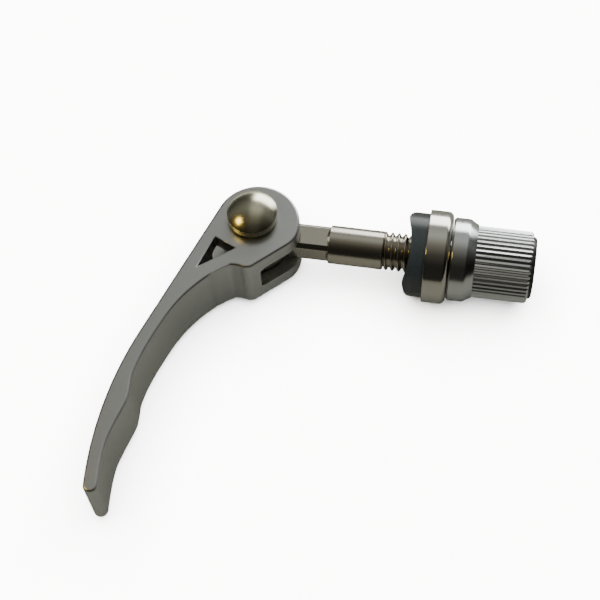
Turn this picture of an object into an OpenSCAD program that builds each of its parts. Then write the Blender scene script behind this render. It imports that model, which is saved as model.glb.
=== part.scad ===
// Seat binder bolt: a cam lever on an eye bolt, two washers and a knurled nut.
// Origin at the lever's pivot on the bolt's axis, +X along the bolt to the nut, +Z along the pivot pin.
// The bolt lies on its side, as it comes to rest on a bench.

/* [Lever head] */
// Width of the lever along the pivot pin
lever_w = 11; // [10:0.5:13]
// Radius of the cam, which is the round of the lever's head
cam_r = 6.5; // [6.2:0.1:7.2]
// Distance from the pivot to the middle of the cam
cam_throw = 1.03; // [0.6:0.05:1.3]
// Direction from the pivot to the middle of the cam, in degrees
cam_angle = -39; // [-50:1:-25]
// Radius of the cam's nose, between its contact face and the flat
nose_r = 4; // [3:0.25:5]
// Depth that the flat is cut into the cam
flat_cut = 0.5; // [0.3:0.05:0.7]
// Direction that the flat faces, in degrees
flat_angle = -47.4; // [-52:0.2:-44]
// Distance from below the pivot, along the flat, to the bulge at the blade's root
flat_len = 4.5; // [4:0.1:5.2]
// Radius of that bulge
bulge_r = 1.8; // [1.4:0.1:2.2]
/* [Blade] */
// Direction of the blade's straight outer edge, in degrees
blade_angle = 250.3; // [246:0.5:254]
// Length of the blade, from the pivot to the middle of its round tip
blade_len = 49.6; // [48:0.2:54]
// Length of the straight stretch of the outer edge, past the pivot
straight_len = 24.5; // [20:0.5:28]
// Radius of the curled stretch of the outer edge
curl_r = 57; // [50:1:70]
// Thickness of the blade at its tip
tip_t = 2.2; // [1.8:0.1:2.6]
// Thickness of the blade where it is slimmest, above the finger bump
waist_t = 2.35; // [2:0.05:2.6]
// Thickness of the blade over the finger bump
bump_t = 3.35; // [2.9:0.05:3.8]
// Distance of the finger bump from the pivot, along the blade
bump_at = 35.6; // [34:0.2:38]

/* [Window] */
// Wall between the window and the blade's outer edge
window_wall = 2.1; // [1.8:0.1:2.5]
// Distance of the window from the pivot, along the blade
window_start = 5.5; // [5.4:0.1:6.2]
// Length of the window along the blade
window_len = 5.7; // [4.6:0.1:6]
// Width of the window across the blade, at its wide end
window_w = 3.6; // [2.8:0.1:3.7]

/* [Pivot pin] */
// Diameter of the pivot pin
pin_d = 5; // [4:0.25:5.5]
// Diameter of the pin's domed head
pin_head_d = 7.6; // [7:0.1:8]
// Height of the straight rim under the dome
pin_rim = 1.8; // [1:0.1:2.2]
// Rise of the dome above its rim
pin_dome = 1.4; // [1:0.1:2.2]
// Diameter of the pin's headed-over tail
tail_d = 6.6; // [6:0.1:7]
// Height of the headed-over tail
tail_h = 1; // [0.7:0.1:1.2]

/* [Eye bolt] */
// Outer diameter of the eye
eye_d = 10.4; // [9.4:0.2:10.8]
// Width across the flats of the square neck, and thickness of the eye
neck_w = 4.36; // [4:0.1:4.6]
// Size of the neck's chamfered corners
neck_chamfer = 0.5; // [0.2:0.05:0.6]
// Distance from the pivot to the end of the square neck
neck_end = 11.4; // [10:0.2:13]
// Diameter of the round shank
shank_d = 5.96; // [5.9:0.02:6]
// Distance from the pivot to the first thread
thread_start = 20.2; // [19:0.1:20.4]
// Depth of the groove where the thread runs out at the shank
runout_depth = 0.5; // [0.3:0.05:0.6]
// Length of that groove
runout_len = 0.9; // [0.8:0.1:1.2]
// Outer diameter of the thread
thread_d = 5.9; // [5.86:0.01:5.94]
// Distance from the pivot to the end of the bolt
bolt_end = 40; // [39:0.5:42]
// Chamfer at the end of the bolt
end_chamfer = 0.6; // [0.4:0.1:1]

/* [Saddle washer] */
// Outer diameter of the saddle washer
saddle_d = 13; // [12:0.2:13.6]
// Length of the saddle washer, from its horns to its back
saddle_len = 5.3; // [5:0.1:6.5]
// Radius of the hollow face, made for the outside of a seat clamp
saddle_face_r = 14.7; // [13.5:0.1:18]
// Rounding at the tips of the two horns
horn_r = 1.5; // [1:0.1:1.8]
// Turn of the saddle washer's horns about the bolt, from +Y towards +Z, in degrees
saddle_turn = 21; // [0:1:45]
// Diameter of the hole in both washers
washer_bore = 6.4; // [6.2:0.1:6.8]

/* [Cup washer] */
// Length of the cup washer
cup_len = 3.6; // [3:0.1:4.2]
// Wall of the cup around the saddle washer
cup_wall = 0.55; // [0.4:0.05:0.8]
// Thickness of the cup's floor
cup_floor = 1.3; // [1:0.1:1.6]
// Rounding of the cup's back shoulder
cup_round = 0.9; // [0.5:0.1:1.1]

/* [Nut] */
// Distance from the pivot to the face of the nut's flange
nut_start = 30.5; // [30.5:0.25:32]
// Diameter of the flange
flange_d = 12.8; // [12:0.1:13.6]
// Length of the flange
flange_len = 2.5; // [2:0.1:3]
// Length of the cone behind the flange
cone_len = 1.35; // [1:0.05:1.8]
// Step from the cone's small end down to the knurl
cone_step = 0.12; // [0.1:0.02:0.3]
// Diameter over the ridges of the knurl
knurl_d = 11; // [10.6:0.1:11.6]
// Length of the knurl
knurl_len = 8.4; // [7.5:0.1:9]
// Number of ridges round the knurl
ridges = 44; // [36:1:50]
// Depth of the grooves between the ridges
groove = 0.24; // [0.12:0.02:0.3]
// Chamfers on the flange and at the knurl's end
nut_chamfer = 0.3; // [0.2:0.05:0.4]
// Diameter of the black end
insert_d = 9.6; // [9:0.1:10]
// Depth that the black end is pressed in
insert_depth = 2.4; // [2:0.1:3]
// How far the black end stands out of the nut
insert_out = 0.6; // [0.4:0.1:0.8]

/* [Clearances] */
// Gap on each side of the eye in the lever's slot
slot_gap = 0.42; // [0.3:0.02:0.5]
// How far the slot is milled past the cam's furthest point
slot_over = 0.22; // [0.15:0.01:0.3]
// Radial clearance of the eye on the pin
pivot_gap = 0.05; // [0.03:0.01:0.1]
// Radial clearance of the nut on the thread
thread_gap = 0.04; // [0.02:0.01:0.08]
// Radial clearance of the saddle washer in the cup
saddle_gap = 0.1; // [0.08:0.01:0.15]
// Gap between pieces that lie face to face
seat_gap = 0.1; // [0.05:0.01:0.2]
// Radial clearance of the pin in the lever and of the black end in the nut
press_gap = 0.01; // [0.01:0.005:0.02]

/* [Hidden] */
$fn = 64;
through = 1;

// Lever head: the cam's middle, its nose, the flat and the bulge
cam_mid = cam_throw * unit(cam_angle);
outward = blade_angle - 90;
outer_gap = cam_r + cam_mid * unit(outward);
nose_turn = acos((cam_r - flat_cut - nose_r) / (cam_r - nose_r));
nose_mid = cam_mid + (cam_r - nose_r) * unit(flat_angle + nose_turn);
flat_reach = cam_mid * unit(flat_angle) + cam_r - flat_cut;
bulge_mid = (flat_reach - bulge_r) * unit(flat_angle) + flat_len * unit(flat_angle - 90);
bulge_at = bulge_mid * unit(blade_angle);
bulge_deep = outer_gap - bulge_mid * unit(outward);
bulge_from = -112;
slot_w = neck_w + 2 * slot_gap;
slot_r = cam_r + cam_throw + slot_over;

// Stack on the bolt, from the nut's flange back to the saddle washer's horns
cup_back = nut_start - seat_gap;
cup_front = cup_back - cup_len;
cup_inner_r = saddle_d / 2 + saddle_gap;
cup_r = cup_inner_r + cup_wall;
saddle_back = cup_back - cup_floor - seat_gap;
saddle_tip = saddle_back - saddle_len;
cone_start = nut_start + flange_len;
knurl_start = cone_start + cone_len;
nut_end = knurl_start + knurl_len;
insert_start = nut_end - insert_depth;
nut_bore_r = thread_d / 2 + thread_gap;

// Inner edge of the blade, from its tip to its root, as distance along the blade and thickness there
grip = [
    [blade_len, tip_t],
    [blade_len - 4, tip_t],
    [bump_at + 6.8, tip_t + 0.12],
    [bump_at + 3.6, bump_t - 0.5],
    [bump_at, bump_t],
    [bump_at - 2, bump_t - 0.25],
    [bump_at - 4.5, waist_t + 0.2],
    [bump_at - 9, waist_t],
    [bulge_at + 14.5, waist_t + 0.03],
    [bulge_at + 10.8, waist_t + 0.45],
    [bulge_at + 8, bulge_deep - 4.5],
    [bulge_at + 5.7, bulge_deep - 3.6],
    [bulge_at + 3.7, bulge_deep - 2.6],
    [bulge_at + 2.6, bulge_deep - 1.8],
    [bulge_at + 2.15, bulge_deep - 1.25]
];

function unit(a) = [cos(a), sin(a)];

// Points on an arc about mid, from angle a to angle b
function arc(mid, r, a, b, steps) = [for (i = [0:steps]) mid + r * unit(a + (b - a) * i / steps)];

// Direction of the blade, and its outer edge, at a distance s past the pivot
function heading(s) = blade_angle + max(0, s - straight_len) / curl_r * 180 / PI;
function outer_edge(s) =
    outer_gap * unit(outward) + min(s, straight_len) * unit(blade_angle)
    + curl_r * (unit(heading(s) - 90) - unit(outward));

// Point at a depth below the blade's outer edge
function in_blade(s, depth) = outer_edge(s) - depth * unit(heading(s) - 90);

// Smooth curve through a list of points, with each gap cut into steps
function blend(a, b, c, d, t) =
    0.5 * (2 * b + (c - a) * t + (2 * a - 5 * b + 4 * c - d) * t * t + (3 * b - a - 3 * c + d) * t * t * t);
function smooth(p, steps) = [
    for (i = [0:len(p) - 2], k = [0:steps - 1])
        blend(p[max(i - 1, 0)], p[i], p[i + 1], p[min(i + 2, len(p) - 1)], k / steps)
];

// Outline of the lever seen along the pin, anticlockwise from its flat
inner_edge = [for (g = grip) in_blade(g[0], g[1])];
bulge_start = bulge_mid + bulge_r * unit(bulge_from);
lever_outline = concat(
    arc(nose_mid, nose_r, flat_angle, flat_angle + nose_turn, 8),
    arc(cam_mid, cam_r, flat_angle + nose_turn + 4, outward, 40),
    [for (s = [0.5 * straight_len:0.5 * straight_len:straight_len]) outer_edge(s)],
    [for (i = [1:15]) outer_edge(straight_len + (blade_len - straight_len) * i / 16)],
    arc(in_blade(blade_len, tip_t / 2), tip_t / 2, heading(blade_len) - 90, heading(blade_len) + 84, 12),
    smooth(concat(inner_edge, [bulge_start]), 4),
    arc(bulge_mid, bulge_r, bulge_from, flat_angle, 10)
);

// Corners of the triangular window
window_points = [
    in_blade(window_start, window_wall),
    in_blade(window_start + window_len, window_wall + 0.1),
    in_blade(window_start + 0.3, window_wall + window_w)
];

// A turned piece on the bolt's axis, from pairs of radius and distance along X
module turned(profile) {
    rotate([0, 90, 0])
        rotate_extrude()
            polygon(profile);
}

// A round hole along the bolt's axis
module axial_hole(r, from, to) {
    translate([from - through, 0, 0])
        rotate([0, 90, 0])
            cylinder(r = r, h = to - from + 2 * through);
}

module lever() {
    color([0.62, 0.63, 0.64])
        difference() {
            linear_extrude(lever_w, center = true)
                polygon(lever_outline);
            cylinder(r = slot_r, h = slot_w, center = true);
            cylinder(r = pin_d / 2 + press_gap, h = lever_w + 2 * through, center = true);
            linear_extrude(lever_w + 2 * through, center = true)
                polygon(window_points);
        }
}

// Rivet pin: a low dome on a straight rim, the shaft, and a tail headed over on the far cheek
module pivot_pin() {
    face = lever_w / 2;
    head_r = pin_head_d / 2;
    tail_points = [for (a = [90:-10:0]) [tail_d / 2 * cos(a), -face - tail_h * sin(a)]];
    dome_r = (pow(head_r, 2) + pow(pin_dome, 2)) / (2 * pin_dome);
    dome_mid = [0, face + pin_rim + pin_dome - dome_r];
    color([0.68, 0.66, 0.6])
        rotate_extrude()
            polygon(concat(
                tail_points,
                [[pin_d / 2, -face], [pin_d / 2, face], [head_r, face]],
                arc(dome_mid, dome_r, acos(head_r / dome_r), 90, 8)
            ));
}

// Eye bolt: a flat eye, a square neck, a round shank, and the thread as a plain cylinder over its crests,
// with a groove where it runs out
module eye_bolt() {
    half = neck_w / 2;
    cut = half - neck_chamfer;
    square_points = [
        [half, cut], [cut, half], [-cut, half], [-half, cut],
        [-half, -cut], [-cut, -half], [cut, -half], [half, -cut]
    ];
    color([0.6, 0.58, 0.55])
        difference() {
            union() {
                cylinder(d = eye_d, h = neck_w, center = true);
                rotate([0, 90, 0])
                    linear_extrude(neck_end + through)
                        polygon(square_points);
                turned([
                    [0, neck_end],
                    [half, neck_end],
                    [shank_d / 2, neck_end + neck_chamfer],
                    [shank_d / 2, thread_start],
                    [shank_d / 2 - runout_depth, thread_start + runout_len / 3],
                    [shank_d / 2 - runout_depth, thread_start + runout_len * 2 / 3],
                    [thread_d / 2, thread_start + runout_len],
                    [thread_d / 2, bolt_end - end_chamfer],
                    [thread_d / 2 - end_chamfer, bolt_end],
                    [0, bolt_end]
                ]);
            }
            cylinder(r = pin_d / 2 + pivot_gap, h = neck_w + 2 * through, center = true);
        }
}

// Saddle washer: a round plug with two rounded horns and a hollow face between them
module saddle_washer() {
    edge = saddle_d / 2;
    hollow_mid = [saddle_tip + horn_r - sqrt(pow(saddle_face_r + horn_r, 2) - pow(edge - horn_r, 2)), 0];
    horn_mid = [saddle_tip + horn_r, edge - horn_r];
    meet = atan2(horn_mid[1], horn_mid[0] - hollow_mid[0]);
    side_points = concat(
        arc(horn_mid, horn_r, 90, 180 + meet, 8),
        arc(hollow_mid, saddle_face_r, meet, -meet, 24),
        arc([horn_mid[0], -horn_mid[1]], horn_r, 180 - meet, 270, 8),
        [[saddle_back, -edge], [saddle_back, edge]]
    );
    color([0.12, 0.13, 0.13])
        difference() {
            intersection() {
                rotate([saddle_turn, 0, 0])
                    linear_extrude(saddle_d + 2 * through, center = true)
                        polygon(side_points);
                translate([saddle_tip - through, 0, 0])
                    rotate([0, 90, 0])
                        cylinder(d = saddle_d, h = saddle_len + 2 * through);
            }
            axial_hole(washer_bore / 2, saddle_tip, saddle_back);
        }
}

// Cup washer: a floor and a short wall round the saddle washer's back
module cup_washer() {
    corner = [cup_r - cup_round, cup_back - cup_round];
    color([0.75, 0.73, 0.7])
        turned(concat(
            [
                [washer_bore / 2, cup_back],
                [washer_bore / 2, cup_back - cup_floor],
                [cup_inner_r, cup_back - cup_floor],
                [cup_inner_r, cup_front],
                [cup_r, cup_front]
            ],
            arc(corner, cup_round, 0, 90, 8)
        ));
}

// Outline of the straight knurl, with one groove between each two ridges
function knurl_points() = [
    for (i = [0:2 * ridges - 1])
        (knurl_d / 2 - (i % 2) * groove) * unit(180 * i / ridges)
];

module knurled_nut() {
    crest = knurl_d / 2;
    color([0.74, 0.75, 0.76])
        difference() {
            union() {
                turned([
                    [0, nut_start],
                    [flange_d / 2 - nut_chamfer, nut_start],
                    [flange_d / 2, nut_start + nut_chamfer],
                    [flange_d / 2, cone_start],
                    [crest + cone_step, knurl_start],
                    [0, knurl_start]
                ]);
                intersection() {
                    translate([knurl_start, 0, 0])
                        rotate([0, 90, 0])
                            linear_extrude(knurl_len)
                                polygon(knurl_points());
                    turned([
                        [0, knurl_start - through],
                        [crest + through, knurl_start - through],
                        [crest + through, nut_end - nut_chamfer - through],
                        [crest - nut_chamfer, nut_end],
                        [0, nut_end]
                    ]);
                }
            }
            axial_hole(nut_bore_r, nut_start, nut_end);
            translate([insert_start, 0, 0])
                rotate([0, 90, 0])
                    cylinder(r = insert_d / 2 + press_gap, h = insert_depth + through);
        }
}

// Locking end: a plastic ring that grips the thread, with a rounded rim outside the nut
module lock_insert() {
    rim = [insert_d / 2 - insert_out, nut_end];
    color([0.1, 0.1, 0.11])
        turned(concat(
            [
                [nut_bore_r, nut_end + insert_out],
                [nut_bore_r, insert_start],
                [insert_d / 2, insert_start]
            ],
            arc(rim, insert_out, 0, 90, 8)
        ));
}

lever();
pivot_pin();
eye_bolt();
saddle_washer();
cup_washer();
knurled_nut();
lock_insert();
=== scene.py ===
from math import asin, cos, pi, radians, sin, sqrt

import bmesh
import bpy
from mathutils import Euler, Matrix, Vector


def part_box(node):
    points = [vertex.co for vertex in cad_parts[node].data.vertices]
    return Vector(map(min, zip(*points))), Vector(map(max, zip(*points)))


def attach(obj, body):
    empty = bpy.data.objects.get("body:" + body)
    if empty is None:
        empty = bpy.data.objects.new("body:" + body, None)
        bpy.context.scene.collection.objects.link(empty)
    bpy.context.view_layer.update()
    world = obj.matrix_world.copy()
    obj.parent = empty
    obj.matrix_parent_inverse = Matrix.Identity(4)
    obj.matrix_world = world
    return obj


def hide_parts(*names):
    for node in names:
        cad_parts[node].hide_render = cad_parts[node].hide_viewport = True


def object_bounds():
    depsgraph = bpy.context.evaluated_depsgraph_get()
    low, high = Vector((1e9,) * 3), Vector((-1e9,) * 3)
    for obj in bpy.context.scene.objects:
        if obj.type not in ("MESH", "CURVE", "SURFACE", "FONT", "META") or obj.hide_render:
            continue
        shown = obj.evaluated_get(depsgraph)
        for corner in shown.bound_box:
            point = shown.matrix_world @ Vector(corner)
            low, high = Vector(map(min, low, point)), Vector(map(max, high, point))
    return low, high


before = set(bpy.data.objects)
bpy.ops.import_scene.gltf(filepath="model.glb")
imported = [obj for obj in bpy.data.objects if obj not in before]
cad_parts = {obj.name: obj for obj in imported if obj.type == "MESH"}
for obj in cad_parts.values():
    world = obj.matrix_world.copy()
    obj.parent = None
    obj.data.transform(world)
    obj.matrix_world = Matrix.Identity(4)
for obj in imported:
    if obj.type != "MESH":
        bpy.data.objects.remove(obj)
cad_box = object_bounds()
# Sizes are in millimetres and angles in degrees. This turns a size into the scene's metres.
MM = 0.001

# Lever: one aluminium alloy casting, tumbled and polished, with its long edges rounded over.
# It turns on the pivot pin, and its round head is the cam that pulls the bolt tight.
EDGE_ROUND = 0.42
WINDOW_ROUND = 0.14
SLOT_ROUND = 0.16
SLOT_CORNER = 0.6
TIP_CORNER = 0.6
TIP_REACH = 4
SLOT_R = 7.75
SLOT_W = 5.2
PIN_HOLE_R = 2.6
# The window is found by its reach from the pin's middle, along the blade's way and across it
BLADE_ANGLE = 250.3
WINDOW_ALONG = (4.9, 11.5)
WINDOW_ACROSS = (-0.8, 4.2)
MERGE_GAP = 0.0005
CLOSE = 0.02
WELL_INSIDE = 1
FLAT_ANGLE = 0.2
SHARP_ANGLE = 40
ALLOY_RIPPLE = 3.85
ALLOY_PITS = 0.385


def linear(code):
    """An sRGB hex colour as a linear one with alpha, as the shader wants it."""
    parts = [int(code[i:i + 2], 16) / 255 for i in (1, 3, 5)]
    return [c / 12.92 if c <= 0.04045 else ((c + 0.055) / 1.055) ** 2.4 for c in parts] + [1]


def add(tree, kind, settings=None, inputs=None):
    """Adds one node. An input is a number, a vector or a colour, or the output socket that feeds it."""
    made = tree.nodes.new(kind)
    for name, value in (settings or {}).items():
        setattr(made, name, value)
    for name, value in (inputs or {}).items():
        if isinstance(value, bpy.types.NodeSocket):
            tree.links.new(value, made.inputs[name])
        else:
            made.inputs[name].default_value = value
    return made


def new_material(name):
    """An empty procedural material, with its tree and its Object coordinates."""
    material = bpy.data.materials.new(name)
    material.use_nodes = True
    tree = material.node_tree
    tree.nodes.clear()
    coords = add(tree, "ShaderNodeTexCoord")
    return material, tree, coords.outputs["Object"]


def finish_material(tree, **sockets):
    """The shader with its sockets, linked to the output. Underscores stand for spaces in their names."""
    inputs = {name.replace("_", " "): value for name, value in sockets.items()}
    shader = add(tree, "ShaderNodeBsdfPrincipled", inputs=inputs)
    add(tree, "ShaderNodeOutputMaterial", inputs={"Surface": shader.outputs["BSDF"]})


def patchy_polish(tree, place, patch, detail, smoothest, roughest):
    """A roughness that runs between two values over patches of a size in millimetres."""
    noise = add(tree, "ShaderNodeTexNoise", inputs={
        "Vector": place, "Scale": 1 / (patch * MM), "Detail": detail,
    })
    polish = add(tree, "ShaderNodeMapRange", inputs={
        "Value": noise.outputs["Fac"], "To Min": smoothest, "To Max": roughest,
    })
    return polish.outputs["Result"]


def grain_bump(tree, place, grain, detail, strength, depth):
    """A bump of grains, with their size and depth in millimetres."""
    noise = add(tree, "ShaderNodeTexNoise", inputs={
        "Vector": place, "Scale": 1 / (grain * MM), "Detail": detail,
    })
    bump = add(tree, "ShaderNodeBump", inputs={
        "Strength": strength, "Distance": depth * MM, "Height": noise.outputs["Fac"],
    })
    return bump.outputs["Normal"]


def settle(piece):
    """Turns a piece's modifiers into plain mesh."""
    graph = bpy.context.evaluated_depsgraph_get()
    mesh = bpy.data.meshes.new_from_object(piece.evaluated_get(graph), depsgraph=graph)
    piece.modifiers.clear()
    piece.data = mesh


def place_piece(name, body, turn=None):
    """A new object at the origin from a bmesh, which is used up."""
    if turn is not None:
        body.transform(turn)
    mesh = bpy.data.meshes.new(name)
    body.to_mesh(mesh)
    body.free()
    piece = bpy.data.objects.new(name, mesh)
    bpy.context.scene.collection.objects.link(piece)
    return piece


def merged_copy(name, node):
    """A new piece from a CAD node's mesh: its corners merged and its flat faces made whole."""
    body = bmesh.new()
    body.from_mesh(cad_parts[node].data)
    bmesh.ops.remove_doubles(body, verts=body.verts, dist=MERGE_GAP * MM)
    bmesh.ops.dissolve_limit(body, angle_limit=radians(FLAT_ANGLE), verts=body.verts, edges=body.edges)
    for face in body.faces:
        face.material_index = 0
    return place_piece(name, body)


def round_over(piece, chosen, width, segments=3):
    """Rounds over the sharp edges whose middle passes a test, given in millimetres."""
    body = bmesh.new()
    body.from_mesh(piece.data)
    sharp = [e for e in body.edges if e.calc_face_angle(0) > radians(SHARP_ANGLE)]
    edges = [e for e in sharp if chosen((e.verts[0].co + e.verts[1].co) / 2 / MM)]
    bmesh.ops.bevel(
        body, geom=edges, offset=width * MM, offset_type="OFFSET", segments=segments,
        profile=0.5, affect="EDGES", clamp_overlap=False,
    )
    body.to_mesh(piece.data)
    body.free()


def smooth(piece, angle=34):
    """Smooth shading that keeps large flat faces flat, with edges past the angle left sharp."""
    piece.data.shade_smooth()
    piece.data.set_sharp_from_angle(angle=radians(angle))
    piece.modifiers.new("weighted", "WEIGHTED_NORMAL").keep_sharp = True
    settle(piece)


lever_low, lever_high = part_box("lever")
side_face = lever_high.z / MM
lever = merged_copy("polished_lever", "lever")
blade_way = Vector((cos(radians(BLADE_ANGLE)), sin(radians(BLADE_ANGLE))))
blade_out = Vector((blade_way.y, -blade_way.x))


def in_window(point):
    """Whether a point lies round the triangular window, and not on the lever's outline."""
    along, across = point.xy @ blade_way, point.xy @ blade_out
    in_length = WINDOW_ALONG[0] < along < WINDOW_ALONG[1]
    return in_length and WINDOW_ACROSS[0] < across < WINDOW_ACROSS[1]


def on_side_face(point):
    """Whether a point lies on one of the two flat sides, clear of the pin's hole."""
    return abs(point.z) > side_face - CLOSE and point.xy.length > PIN_HOLE_R


def between_sides(point):
    """Whether a point lies well inside both flat sides: at the slot's mouth or in a corner of the window."""
    return abs(point.z) < side_face - WELL_INSIDE and point.xy.length > PIN_HOLE_R


def in_slot_corner(point):
    """Whether a point lies in the slot's inner corner, between its round wall and a cheek."""
    return abs(point.xy.length - SLOT_R) < CLOSE and abs(abs(point.z) - SLOT_W / 2) < CLOSE


def across_tip(point):
    """Whether a point is the middle of an edge that runs across the blade's tip, from side to side."""
    return abs(point.z) < WELL_INSIDE and point.y < lever_low.y / MM + TIP_REACH


round_over(lever, across_tip, TIP_CORNER, segments=5)
round_over(lever, lambda p: on_side_face(p) and not in_window(p), EDGE_ROUND)
round_over(lever, lambda p: on_side_face(p) and in_window(p), WINDOW_ROUND, segments=2)
round_over(lever, in_slot_corner, SLOT_CORNER, segments=4)
round_over(lever, between_sides, SLOT_ROUND, segments=2)
smooth(lever)

# Polished cast aluminium: a cool grey with a faint ripple from tumbling. The casting's pits are finer than
# the render can show, so they are drawn larger and shallow.
material, tree, place = new_material("polished_cast_aluminium")
finish_material(
    tree, Base_Color=linear("#C8CACA"), Metallic=1,
    Roughness=patchy_polish(tree, place, ALLOY_RIPPLE, detail=3, smoothest=0.27, roughest=0.35),
    Normal=grain_bump(tree, place, ALLOY_PITS, detail=2, strength=0.05, depth=0.02),
)
lever.data.materials.append(material)
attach(lever, "lever")
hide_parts("lever")

# Pivot pin: a steel rivet with a polished dome, which joins the lever to the bolt's eye.
# Its far end is headed over on the lever's other side.
PIN_R = 2.5
TAIL_R = 3.3
HEAD_RIM = 1.8
HEAD_FOOT = 0.5
ON_AXIS = 0.001
STEEL_CLOUD = 2.38
# Turns what was made along Z so that it lies along X, as the bolt does
TURNED_ON_X = Matrix(((0, 0, 1, 0), (1, 0, 0, 0), (0, 1, 0, 0), (0, 0, 0, 1)))


def lathe(name, profile, turn=TURNED_ON_X, steps=144):
    """Turns a closed profile of (radius, distance along the axis) in millimetres."""
    body = bmesh.new()
    rings = []
    for radius, along in profile:
        angles = [2 * pi * k / steps for k in range(steps)] if radius > ON_AXIS else [0]
        ring = [body.verts.new((radius * MM * cos(a), radius * MM * sin(a), along * MM)) for a in angles]
        rings.append(ring if len(ring) > 1 else ring * steps)
    for here, on in zip(rings, rings[1:] + rings[:1]):
        for k in range(steps):
            next_k = (k + 1) % steps
            corners = list(dict.fromkeys([here[k], here[next_k], on[next_k], on[k]]))
            if len(corners) > 2:
                body.faces.new(corners)
    bmesh.ops.recalc_face_normals(body, faces=body.faces)
    return place_piece(name, body, turn)


def oval(radius, low, high, steps=16):
    """The profile of an oval rise, from its rim at low to its top at high."""
    return [
        (radius * cos(pi / 2 * k / steps), low + (high - low) * sin(pi / 2 * k / steps))
        for k in range(steps + 1)
    ]


def dome(radius, low, high, steps=16):
    """The profile of a round dome, from its rim at low to its top at high."""
    rise = high - low
    ball = (radius ** 2 + rise ** 2) / (2 * rise)
    spread = asin(radius / ball)
    return [
        (ball * sin(spread * (1 - k / steps)), high - ball + ball * cos(spread * (1 - k / steps)))
        for k in range(steps + 1)
    ]


pin_low, pin_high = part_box("pivot_pin")
head_r = pin_high.x / MM
tail = [(radius, -along) for radius, along in reversed(oval(TAIL_R, side_face, -pin_low.z / MM))]
head = dome(head_r, side_face + HEAD_RIM, pin_high.z / MM)
stem = [(PIN_R, -side_face), (PIN_R, side_face)]
foot = [(head_r - HEAD_FOOT, side_face), (head_r, side_face + HEAD_FOOT)]
pin = lathe("domed_pin", tail + stem + foot + head, Matrix())
smooth(pin)

# Polished steel: a warm grey mirror, a little clouded by handling
material, tree, place = new_material("polished_steel")
finish_material(
    tree, Base_Color=linear("#CDCAB2"), Metallic=1,
    Roughness=patchy_polish(tree, place, STEEL_CLOUD, detail=4, smoothest=0.16, roughest=0.26),
)
pin.data.materials.append(material)
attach(pin, "lever")
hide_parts("pivot_pin")

# Eye bolt: a plated steel forging with a flat eye, a square neck, a round shank and a rolled M6 thread.
# The eye sits on the pivot pin in the lever's slot.
PIN_PLAY = 0.05
EYE_GAP = 0.42
EYE_EDGE = 0.15
NECK_END = 11.4
NECK_FLAT = 2.15
NECK_CHAMFER = 0.62
NECK_EDGE = 0.12
NECK_INSET = 0.01
NECK_LENGTH = 8.8
NECK_IN_SHANK = 0.8
SHANK_IN_NECK = 0.5
SHANK_R = 2.98
SHANK_CONE = 0.5
SHANK_EDGE = 0.12
THREAD_START = 20.2
THREAD_CREST = 2.97
CREST_ROUND = 0.06
THREAD_ROOT = 2.45
ROOT_ROUND = 0.05
PITCH = 1
# Where a crest starts past each whole pitch, and the turns made past each end, which are trimmed off
CREST_AT = 0.12
SPARE_TURNS = 2
END_CHAMFER = 0.6
FINE_EDGE = 0.1
ROUNDING_STEP = 11
JOIN_GAP = 0.001
# How far one solid reaches into the next, so that the two join cleanly
LAP = 0.05
PLATING_GRAIN = 0.286
bolt_low, bolt_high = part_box("eye_bolt")
bolt_end, eye_r = bolt_high.x / MM, -bolt_low.x / MM
eye_bore_r = PIN_R + PIN_PLAY
eye_half = SLOT_W / 2 - EYE_GAP


def combine(piece, other, operation):
    """Joins a closed piece to another, or trims it to the other's space. The other is used up."""
    modifier = piece.modifiers.new("combine", "BOOLEAN")
    modifier.operation = operation
    modifier.solver = "EXACT"
    modifier.object = other
    settle(piece)
    bpy.data.objects.remove(other)


def rounded(points, radii):
    """A closed profile with its corners rounded: each point has a radius, and 0 leaves it sharp."""
    result = []
    for i, (point, radius) in enumerate(zip(points, radii)):
        here = Vector(point)
        if radius == 0:
            result.append(here)
            continue
        back = (Vector(points[i - 1]) - here).normalized()
        on = (Vector(points[(i + 1) % len(points)]) - here).normalized()
        half = back.angle(on) / 2
        reach = radius * cos(half) / sin(half)
        middle = here + (back + on).normalized() * radius / sin(half)
        first, last = here + back * reach - middle, here + on * reach - middle
        steps = max(2, round(first.angle(last) / radians(ROUNDING_STEP)))
        result.extend(middle + first.slerp(last, k / steps) * radius for k in range(steps + 1))
    return result


def prism(name, outline, half_depth):
    """A closed block with an outline seen along Z, in millimetres."""
    body = bmesh.new()
    ends = []
    for z in (-half_depth, half_depth):
        ends.append([body.verts.new((x * MM, y * MM, z * MM)) for x, y in outline])
    body.faces.new(ends[0])
    body.faces.new(ends[1])
    for k in range(len(outline)):
        next_k = (k + 1) % len(outline)
        body.faces.new([ends[0][k], ends[0][next_k], ends[1][next_k], ends[1][k]])
    bmesh.ops.recalc_face_normals(body, faces=body.faces)
    return place_piece(name, body)


def new_tree(name, sockets):
    """A geometry node tree with named inputs, and the outputs of its input node."""
    tree = bpy.data.node_groups.new(name, "GeometryNodeTree")
    tree.interface.new_socket("Geometry", in_out="OUTPUT", socket_type="NodeSocketGeometry")
    inputs = {"Geometry": "NodeSocketGeometry", **sockets, "Material": "NodeSocketMaterial"}
    for label, kind in inputs.items():
        tree.interface.new_socket(label, in_out="INPUT", socket_type=kind)
    return tree, tree.nodes.new("NodeGroupInput").outputs


def end_tree(tree, given, instances):
    """Ends a tree: real mesh from its instances, their shared edges merged, and the material set."""
    real = add(tree, "GeometryNodeRealizeInstances", inputs={"Geometry": instances})
    merged = add(tree, "GeometryNodeMergeByDistance", inputs={
        "Geometry": real.outputs["Geometry"], "Distance": JOIN_GAP * MM,
    })
    coated = add(tree, "GeometryNodeSetMaterial", inputs={
        "Geometry": merged.outputs["Geometry"], "Material": given["Material"],
    })
    output = add(tree, "NodeGroupOutput")
    tree.links.new(coated.outputs["Geometry"], output.inputs["Geometry"])


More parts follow.
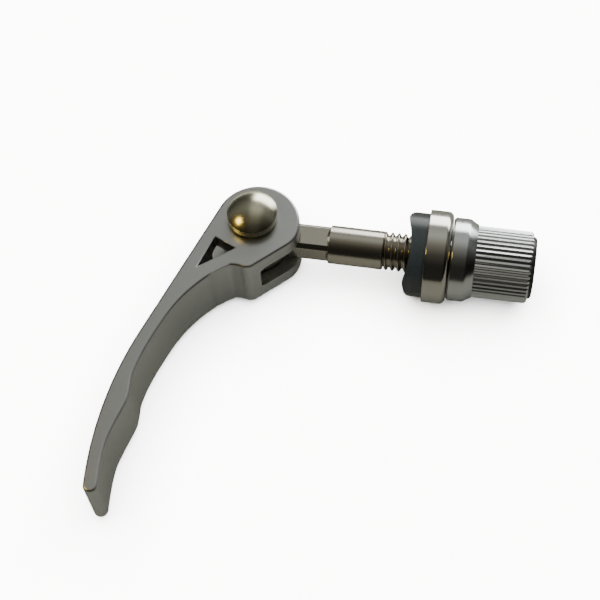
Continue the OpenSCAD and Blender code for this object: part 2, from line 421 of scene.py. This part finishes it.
def repeat(piece, tree, values):
    """Runs a node tree on a piece with its named inputs set, and closes the mesh that comes out."""
    modifier = piece.modifiers.new("repeat", "NODES")
    modifier.node_group = tree
    for item in tree.interface.items_tree:
        if item.in_out == "INPUT" and item.name in values:
            modifier[item.identifier] = values[item.name]
    settle(piece)
    body = bmesh.new()
    body.from_mesh(piece.data)
    bmesh.ops.holes_fill(body, edges=body.edges, sides=0)
    bmesh.ops.recalc_face_normals(body, faces=body.faces)
    body.to_mesh(piece.data)
    body.free()


def thread_turn(steps=72):
    """One turn of a right-handed thread as an open tube. Its rows follow the helix, and each has its
    share of the pitch and its radius."""
    crest_side, root_side = THREAD_CREST - CREST_ROUND, THREAD_ROOT + ROOT_ROUND
    rows = [
        (0, crest_side), (0.08, THREAD_CREST), (0.18, THREAD_CREST), (0.26, crest_side),
        (0.52, root_side), (0.6, THREAD_ROOT), (0.66, THREAD_ROOT), (0.74, root_side), (1, crest_side),
    ]
    body = bmesh.new()
    lines = []
    for along, radius in rows:
        points = [((along + k / steps) * PITCH, radius, 2 * pi * k / steps) for k in range(steps + 1)]
        lines.append([body.verts.new((x * MM, r * MM * cos(a), r * MM * sin(a))) for x, r, a in points])
    for here, on in zip(lines, lines[1:]):
        for k in range(steps):
            body.faces.new([here[k], on[k], on[k + 1], here[k + 1]])
    first = (int(THREAD_START / PITCH) - SPARE_TURNS) * PITCH + CREST_AT
    return place_piece("thread", body, Matrix.Translation((first * MM, 0, 0)))


# Plated steel: a warm grey, with the fine grain of the forging under the plating, drawn coarse enough to show
material, tree, place = new_material("plated_steel")
finish_material(
    tree, Base_Color=linear("#BDB8AC"), Metallic=1,
    Roughness=patchy_polish(tree, place, PLATING_GRAIN, detail=3, smoothest=0.12, roughest=0.28),
    Normal=grain_bump(tree, place, PLATING_GRAIN, detail=3, strength=0.12, depth=0.03),
)

# Thread tree: one turn, set down again at every pitch along the bolt
tree, given = new_tree("thread_turns", {"Turns": "NodeSocketInt", "Pitch": "NodeSocketFloat"})
step = add(tree, "ShaderNodeCombineXYZ", inputs={"X": given["Pitch"]})
line = add(tree, "GeometryNodeMeshLine", {"mode": "OFFSET"}, {
    "Count": given["Turns"], "Offset": step.outputs["Vector"],
})
turns = add(tree, "GeometryNodeInstanceOnPoints", inputs={
    "Points": line.outputs["Mesh"], "Instance": given["Geometry"],
})
end_tree(tree, given, turns.outputs["Instances"])
thread = thread_turn()
turns_needed = round((bolt_end - THREAD_START) / PITCH) + 2 * SPARE_TURNS
repeat(thread, tree, {"Turns": turns_needed, "Pitch": PITCH * MM, "Material": material})
combine(thread, lathe("blank", [
    (0, THREAD_START), (SHANK_R, THREAD_START), (SHANK_R, bolt_end - END_CHAMFER - LAP),
    (SHANK_R - END_CHAMFER - LAP, bolt_end), (0, bolt_end),
]), "INTERSECT")

# The eye, the square neck and the round shank reach a little way into each other
bolt = lathe("eye_bolt_forging", rounded(
    [(eye_bore_r, -eye_half), (eye_bore_r, eye_half), (eye_r, eye_half), (eye_r, -eye_half)],
    [FINE_EDGE, FINE_EDGE, EYE_EDGE, EYE_EDGE],
), Matrix())
half, cut = eye_half - NECK_INSET, eye_half - NECK_CHAMFER
octagon = [
    (half, cut), (cut, half), (-cut, half), (-half, cut),
    (-half, -cut), (-cut, -half), (cut, -half), (half, -cut),
]
neck = prism("neck", rounded(octagon, [NECK_EDGE] * len(octagon)), NECK_LENGTH / 2)
neck_middle = NECK_END + NECK_IN_SHANK - NECK_LENGTH / 2
neck.data.transform(Matrix.Translation((neck_middle * MM, 0, 0)) @ TURNED_ON_X)
combine(bolt, neck, "UNION")
core_r = THREAD_ROOT - 2 * LAP
combine(bolt, lathe("shank", [
    (0, NECK_END - SHANK_IN_NECK), (NECK_FLAT, NECK_END - SHANK_IN_NECK), (NECK_FLAT, NECK_END),
    (SHANK_R, NECK_END + SHANK_CONE), (SHANK_R, THREAD_START - 2 * LAP),
    (SHANK_R - SHANK_EDGE, THREAD_START + LAP), (core_r, THREAD_START + LAP),
    (core_r, THREAD_START + PITCH), (0, THREAD_START + PITCH),
]), "UNION")
combine(bolt, thread, "UNION")
smooth(bolt)
bolt.data.materials.clear()
bolt.data.materials.append(material)
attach(bolt, "bolt")
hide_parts("eye_bolt")

# Saddle washer: black moulded plastic, hollowed on one side to bed on the round clamp.
# It drops into the cup washer behind it.
SADDLE_BORE_R = 3.2
FACE_R = 14.7
HORN_R = 1.5
SADDLE_TURN = 21
SADDLE_BACK_EDGE = 0.2
BLOCK_MARGIN = 1
BLOCK_HALF_DEPTH = 8
MOULD_GRAIN = 0.667
NYLON_SHINE = 0.35
saddle_low, saddle_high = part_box("saddle_washer")
saddle_tip, saddle_back, saddle_r = saddle_low.x / MM, saddle_high.x / MM, saddle_high.z / MM
horn_x, horn_y = saddle_tip + HORN_R, saddle_r - HORN_R
hollow_x = horn_x - sqrt((FACE_R + HORN_R) ** 2 - horn_y ** 2)
meet = Vector((horn_x - hollow_x, horn_y)).angle(Vector((1, 0)))


def arc(x, y, radius, start, end, steps):
    """Points along an arc with both its ends, in millimetres and radians."""
    angles = [start + (end - start) * k / steps for k in range(steps + 1)]
    return [(x + radius * cos(a), y + radius * sin(a)) for a in angles]


upper = arc(horn_x, horn_y, HORN_R, pi / 2, pi + meet, steps=10)
hollow = arc(hollow_x, 0, FACE_R, meet, -meet, steps=40)[1:-1]
lower = [(x, -y) for x, y in reversed(upper)]
beyond = saddle_back + BLOCK_MARGIN
saddle = lathe("black_saddle_washer", rounded(
    [
        (SADDLE_BORE_R, saddle_tip - BLOCK_MARGIN), (saddle_r, saddle_tip - BLOCK_MARGIN),
        (saddle_r, saddle_back), (SADDLE_BORE_R, saddle_back),
    ],
    [0, 0, SADDLE_BACK_EDGE, FINE_EDGE],
))
outline = upper + hollow + lower + [(beyond, -saddle_r), (beyond, saddle_r)]
side = prism("saddle_side", outline, BLOCK_HALF_DEPTH)
side.data.transform(Matrix.Rotation(radians(SADDLE_TURN), 4, "X"))
combine(saddle, side, "INTERSECT")
smooth(saddle)


def moulded_nylon(name, colour, roughness):
    """Moulded nylon of one colour: a soft shine, with the faint grain of the mould."""
    material, tree, place = new_material(name)
    finish_material(
        tree, Base_Color=linear(colour), Roughness=roughness, Specular_IOR_Level=NYLON_SHINE,
        Normal=grain_bump(tree, place, MOULD_GRAIN, detail=2, strength=0.1, depth=0.02),
    )
    return material


# Black nylon, smooth enough to mirror the window as a soft grey band
saddle.data.materials.append(moulded_nylon("black_nylon", "#080A0A", 0.28))
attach(saddle, "saddle")
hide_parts("saddle_washer")

# Cup washer: turned steel, mirror polished, loose on the bolt between the saddle washer and the nut.
# It holds the saddle washer's back in its shallow cup.
CUP_FLOOR = 1.3
CUP_INNER_R = 6.6
CUP_SHOULDER = 0.9
CUP_RIM_EDGE = 0.12
CUP_BORE_EDGE = 0.15
CUP_CLOUD = 3.33
cup_low, cup_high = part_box("cup_washer")
cup_front, cup_back, cup_r = cup_low.x / MM, cup_high.x / MM, cup_high.z / MM
cup = lathe("polished_cup_washer", rounded(
    [
        (SADDLE_BORE_R, cup_back), (SADDLE_BORE_R, cup_back - CUP_FLOOR),
        (CUP_INNER_R, cup_back - CUP_FLOOR), (CUP_INNER_R, cup_front),
        (cup_r, cup_front), (cup_r, cup_back),
    ],
    [CUP_BORE_EDGE, FINE_EDGE, FINE_EDGE, CUP_RIM_EDGE, CUP_RIM_EDGE, CUP_SHOULDER],
))
smooth(cup)

# Mirror-polished steel: sharp reflections, only just softened by fine polishing haze
material, tree, place = new_material("mirror_polished_steel")
finish_material(
    tree, Base_Color=linear("#C8C5BD"), Metallic=1,
    Roughness=patchy_polish(tree, place, CUP_CLOUD, detail=3, smoothest=0.12, roughest=0.18),
)
cup.data.materials.append(material)
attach(cup, "cup")
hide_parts("cup_washer")

# Nut: turned and polished, with a flange, a cone and a straight knurl to turn it by.
# Its end is counterbored for the black locking ring.
FLANGE_LEN = 2.5
FLANGE_EDGE = 0.12
CONE_LEN = 1.35
CONE_STEP = 0.12
CONE_ROUND = 0.9
KNURL_R = 5.5
KNURL_LEAD = 0.3
RIDGES = 44
GROOVE = 0.18
NUT_CHAMFER = 0.3
NUT_BORE_R = 2.99
SOCKET_R = 4.81
KNURL_INNER_R = 4.95
CORE_R = 5.1
NUT_CLOUD = 2
nut_low, nut_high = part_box("knurled_nut")
nut_start, nut_end, flange_r = nut_low.x / MM, nut_high.x / MM, nut_high.z / MM
ring_low, ring_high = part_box("lock_insert")
ring_start, ring_end, ring_r = ring_low.x / MM, ring_high.x / MM, ring_high.z / MM
cone_start = nut_start + FLANGE_LEN
knurl_start = cone_start + CONE_LEN


def knurl_ridge():
    """One ridge of the knurl, as a slice of a closed ring. Its two flanks go from groove to crest and down
    again: each point has its share of the ridge's width and of the groove's depth."""
    flanks = [(0, 0), (0.12, 0.14), (0.38, 0.86), (0.5, 1), (0.62, 0.86), (0.88, 0.14), (1, 0)]
    lead = knurl_start - KNURL_LEAD
    body = bmesh.new()
    slices = []
    for across, rise in flanks:
        turn = 2 * pi * across / RIDGES
        outer = KNURL_R - GROOVE * (1 - rise)
        section = [
            (lead, KNURL_INNER_R), (lead, outer), (nut_end - NUT_CHAMFER, outer),
            (nut_end, KNURL_R - NUT_CHAMFER), (nut_end, KNURL_INNER_R),
        ]
        points = [(x * MM, r * MM * cos(turn), r * MM * sin(turn)) for x, r in section]
        slices.append([body.verts.new(point) for point in points])
    for here, on in zip(slices, slices[1:]):
        for k in range(len(here)):
            next_k = (k + 1) % len(here)
            body.faces.new([here[k], here[next_k], on[next_k], on[k]])
    return place_piece("knurl", body)


# Polished turned alloy: a bright, slightly blue mirror, a little hazy from spot to spot
material, tree, place = new_material("polished_turned_alloy")
finish_material(
    tree, Base_Color=linear("#CBCDCF"), Metallic=1,
    Roughness=patchy_polish(tree, place, NUT_CLOUD, detail=3, smoothest=0.16, roughest=0.24),
)

# Knurl tree: one ridge, turned about the bolt's axis once for each ridge of the knurl
tree, given = new_tree("knurl_ridges", {"Ridges": "NodeSocketInt"})
line = add(tree, "GeometryNodeMeshLine", {"mode": "OFFSET"}, {
    "Count": given["Ridges"], "Offset": (0, 0, 0),
})
share = add(tree, "ShaderNodeMath", {"operation": "DIVIDE"}, {0: 2 * pi, 1: given["Ridges"]})
index = add(tree, "GeometryNodeInputIndex")
angle = add(tree, "ShaderNodeMath", {"operation": "MULTIPLY"}, {
    0: index.outputs["Index"], 1: share.outputs["Value"],
})
spin = add(tree, "ShaderNodeCombineXYZ", inputs={"X": angle.outputs["Value"]})
ridges = add(tree, "GeometryNodeInstanceOnPoints", inputs={
    "Points": line.outputs["Mesh"], "Instance": given["Geometry"], "Rotation": spin.outputs["Vector"],
})
end_tree(tree, given, ridges.outputs["Instances"])
knurl = knurl_ridge()
repeat(knurl, tree, {"Ridges": RIDGES, "Material": material})
nut = lathe("knurled_nut_turned", rounded(
    [
        (NUT_BORE_R, nut_start), (flange_r - NUT_CHAMFER, nut_start), (flange_r, nut_start + NUT_CHAMFER),
        (flange_r, cone_start), (KNURL_R + CONE_STEP, knurl_start), (CORE_R, knurl_start),
        (CORE_R, nut_end - LAP), (SOCKET_R, nut_end - LAP), (SOCKET_R, ring_start), (NUT_BORE_R, ring_start),
    ],
    [FINE_EDGE, FLANGE_EDGE, FLANGE_EDGE, CONE_ROUND, FINE_EDGE, 0, 0, 0, 0, 0],
))
combine(nut, knurl, "UNION")
smooth(nut)
nut.data.materials.clear()
nut.data.materials.append(material)
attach(nut, "nut")
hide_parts("knurled_nut")

# Locking ring: black plastic, moulded with a round shoulder and pressed into the nut's end.
# It grips the bolt's thread, so that the nut stays where it is set.
RING_SHOULDER = 0.55
RING_BORE_EDGE = 0.2
ring = lathe("locking_ring", rounded(
    [(NUT_BORE_R, ring_start), (NUT_BORE_R, ring_end), (ring_r, ring_end), (ring_r, ring_start)],
    [FINE_EDGE, RING_BORE_EDGE, RING_SHOULDER, FINE_EDGE],
))
smooth(ring)

# Black nylon again, but darker and duller
ring.data.materials.append(moulded_nylon("black_locking_nylon", "#050505", 0.36))
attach(ring, "nut")
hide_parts("lock_insert")

# Floor: a plain pale sheet under the part, with a painted reflection: in the metal's mirror image it turns a
# warm dark tone, darker on the near side and painted paler far behind the part, as if the window lit it
# there.
FLOOR_SIZE = 4
# The painted reflection's tones from front to back, in metres
PAINTED_REFLECTION_TONES = [(-0.5, "#191815"), (-0.03, "#2E2E2A"), (0.05, "#31312E"), (0.3, "#686969")]
# A Mix node's colour sockets, by their numbers, because sockets of other kinds share their names
MIX_A, MIX_B, MIX_RESULT = 6, 7, 2
floor_z = cad_box[0][2]


def tone_ramp(tree, value, stops):
    """A colour ramp over a value, with its stops given in the value's own units."""
    low, high = stops[0][0], stops[-1][0]
    share = add(tree, "ShaderNodeMapRange", inputs={"Value": value, "From Min": low, "From Max": high})
    made = add(tree, "ShaderNodeValToRGB", inputs={"Fac": share.outputs["Result"]})
    ramp = made.color_ramp
    ramp.elements[0].color, ramp.elements[1].color = linear(stops[0][1]), linear(stops[-1][1])
    for spot, colour in stops[1:-1]:
        ramp.elements.new((spot - low) / (high - low)).color = linear(colour)
    return made.outputs["Color"]


bpy.ops.mesh.primitive_plane_add(size=FLOOR_SIZE, location=(0, 0, floor_z))
floor_sheet = bpy.context.object
floor_sheet.name = "floor"
material, tree, place = new_material("pale_floor_painted_reflection")
axes = add(tree, "ShaderNodeSeparateXYZ", inputs={"Vector": place})
path = add(tree, "ShaderNodeLightPath")
# Glossy rays see the painted reflection tones instead of the pale floor, so the metal mirrors a painted
# reflection
floor_tone_or_painted_reflection = add(tree, "ShaderNodeMix", {"data_type": "RGBA"}, {
    "Factor": path.outputs["Is Glossy Ray"], MIX_A: linear("#FCFCFB"),
    MIX_B: tone_ramp(tree, axes.outputs["Y"], PAINTED_REFLECTION_TONES),
})
finish_material(tree, Base_Color=floor_tone_or_painted_reflection.outputs[MIX_RESULT], Roughness=0.9, Specular_IOR_Level=0)
floor_sheet.data.materials.append(material)

# Room light: a room that is grey overhead and dark on the near side, with a bright window behind the part.
# ROOM and WINDOW_HEIGHT run round the bolt's axis in degrees, from the near horizon at -90 over the top at 0
# to the far one at 90. ROOM_SIDES and WINDOW_WIDTH run along the axis, from -1 on the left to 1 on the right.
ROOM = [
    (-180, "#2A2926"), (-92, "#2A2926"), (-50, "#2C2B28"), (-25, "#4C4A44"), (0, "#85837B"),
    (25, "#C8CAC4"), (45, "#B0B1AC"), (62, "#77776F"), (92, "#6A6A64"), (180, "#6A6A64"),
]
ROOM_SIDES = [
    (-1, "#7C7C7C"), (-0.5, "#9A9A9A"), (-0.25, "#A8A8A8"), (-0.1, "#F4F4F4"), (0.08, "#FFFFFF"),
    (0.28, "#F4F4F4"), (0.5, "#A0A0A0"), (1, "#787878"),
]
WINDOW_HEIGHT = [(40, "#000000"), (53, "#000000"), (62, "#FFFFFF"), (100, "#FFFFFF")]
WINDOW_WIDTH = [
    (-1, "#000000"), (-0.16, "#000000"), (-0.03, "#FFFFFF"),
    (0.48, "#FFFFFF"), (0.7, "#000000"), (1, "#000000"),
]
ROOM_LIGHT = 1.1
WINDOW_LIGHT = 7


def lit_part(tree, around, along, strength):
    """The light of two ramps multiplied, as a background."""
    both = add(tree, "ShaderNodeMix", {"data_type": "RGBA", "blend_type": "MULTIPLY"}, {
        "Factor": 1, MIX_A: around, MIX_B: along,
    })
    made = add(tree, "ShaderNodeBackground", inputs={"Color": both.outputs[MIX_RESULT], "Strength": strength})
    return made.outputs["Background"]


world = bpy.data.worlds.new("studio")
bpy.context.scene.world = world
world.use_nodes = True
tree = world.node_tree
tree.nodes.clear()
coords = add(tree, "ShaderNodeTexCoord")
axes = add(tree, "ShaderNodeSeparateXYZ", inputs={"Vector": coords.outputs["Generated"]})
turn = add(tree, "ShaderNodeMath", {"operation": "ARCTAN2"}, {0: axes.outputs["Y"], 1: axes.outputs["Z"]})
around = add(tree, "ShaderNodeMath", {"operation": "DEGREES"}, {0: turn.outputs["Value"]}).outputs["Value"]
along = axes.outputs["X"]
room = lit_part(tree, tone_ramp(tree, around, ROOM), tone_ramp(tree, along, ROOM_SIDES), ROOM_LIGHT)
window = lit_part(
    tree, tone_ramp(tree, around, WINDOW_HEIGHT), tone_ramp(tree, along, WINDOW_WIDTH), WINDOW_LIGHT,
)
light = add(tree, "ShaderNodeAddShader", inputs={0: room, 1: window})
add(tree, "ShaderNodeOutputWorld", inputs={"Surface": light.outputs["Shader"]})


# Lamps: a wide soft one overhead lights the floor and gives the faint shadow. A small warm one on the left
# shows as the gold spot on the pin's dome.
def soft_box(name, spot, size, power, colour, mirrored=True):
    """A flat light that faces the part, with its place and size in metres and its power in watts.
    One that isn't mirrored lights the part but shows in no metal."""
    light = bpy.data.lights.new(name, "AREA")
    light.shape = "RECTANGLE"
    light.size, light.size_y = size
    light.energy = power
    light.color = linear(colour)[:3]
    lamp = bpy.data.objects.new(name, light)
    lamp.location = spot
    lamp.rotation_euler = Vector(spot).to_track_quat("Z", "Y").to_euler()
    lamp.visible_glossy = mirrored
    bpy.context.scene.collection.objects.link(lamp)


soft_box("overhead", (0.02, 0.1, 0.7), (1.1, 1.1), 105, "#FFFFFF", mirrored=False)
soft_box("warm_lamp", (-0.315, -0.11, 0.37), (0.12, 0.12), 0.5, "#FFDA70")

# Camera: above the part and on its near side, a little to the right, as the photograph was taken.
# Its place is measured from the pin's middle.
CAMERA_AT = (33.25, -115.35, 209.2)
CAMERA_TURN = (27.213, 2.182, 8.904)
LENS = 92.72
SENSOR = 36
NEAREST = 0.01
camera = bpy.data.objects.new("camera", bpy.data.cameras.new("camera"))
camera.location = Vector(CAMERA_AT) * MM
camera.rotation_euler = Euler([radians(a) for a in CAMERA_TURN])
camera.data.lens = LENS
camera.data.sensor_width = SENSOR
camera.data.clip_start = NEAREST
bpy.context.scene.collection.objects.link(camera)
bpy.context.scene.camera = camera
